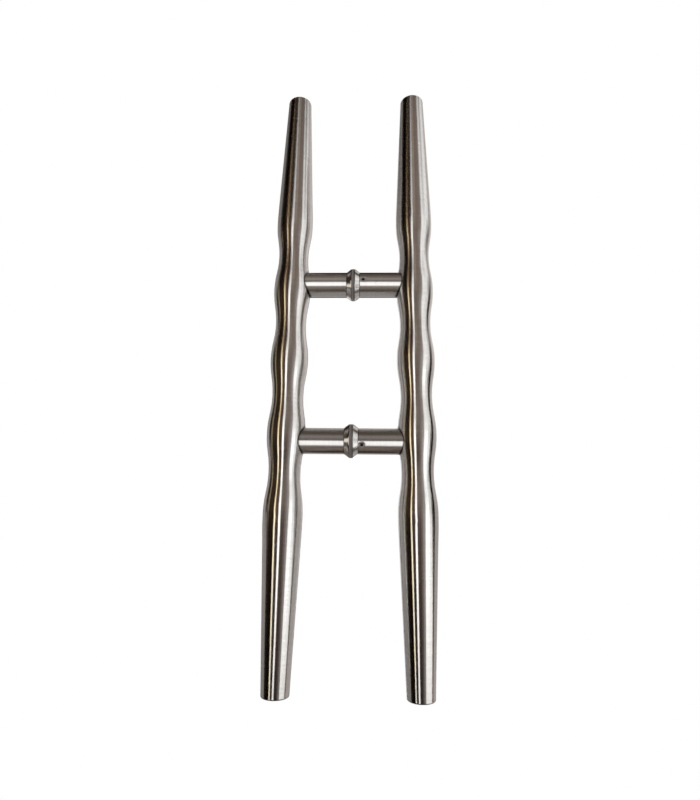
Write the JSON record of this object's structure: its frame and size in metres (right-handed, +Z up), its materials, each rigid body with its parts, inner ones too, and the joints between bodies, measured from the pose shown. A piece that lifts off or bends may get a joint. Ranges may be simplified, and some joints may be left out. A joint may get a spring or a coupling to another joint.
{
  "type": "glass door pull handle",
  "caption": "Back-to-back pull handle for a glass door: wavy tapered steel bars on round posts, with flared collars and gaskets that clamp the glass.",
  "frame": {"origin": "midway between the bars and midway up them, on the plane where the gaskets meet, which is the middle of the glass door", "axes": "+Z up along the bars, +X from the left bar to the right bar, square to the door, and -Y towards the side that the grub screws face"},
  "size_m": [0.1606, 0.0366, 0.6],
  "materials": {
    "satin_steel": "satin, brushed round the bars",
    "collar_steel": "fine turned",
    "screw_steel": "plain, darker",
    "gasket": "matt"
  },
  "bodies": {
    "root": {"left_bar": "satin_steel", "left_top_cap": "satin_steel", "left_bottom_cap": "satin_steel", "left_upper_post": "satin_steel", "left_upper_collar": "collar_steel", "left_upper_gasket": "gasket", "left_lower_post": "satin_steel", "left_lower_collar": "collar_steel", "left_lower_gasket": "gasket", "right_bar": "satin_steel", "right_top_cap": "satin_steel", "right_bottom_cap": "satin_steel", "right_upper_post": "satin_steel", "right_upper_collar": "collar_steel", "right_upper_gasket": "gasket", "right_lower_post": "satin_steel", "right_lower_collar": "collar_steel", "right_lower_gasket": "gasket", "upper_clamp_bolt": "screw_steel", "upper_grub_screw": "screw_steel", "lower_clamp_bolt": "screw_steel", "lower_grub_screw": "screw_steel"}
  },
  "joints": []
}
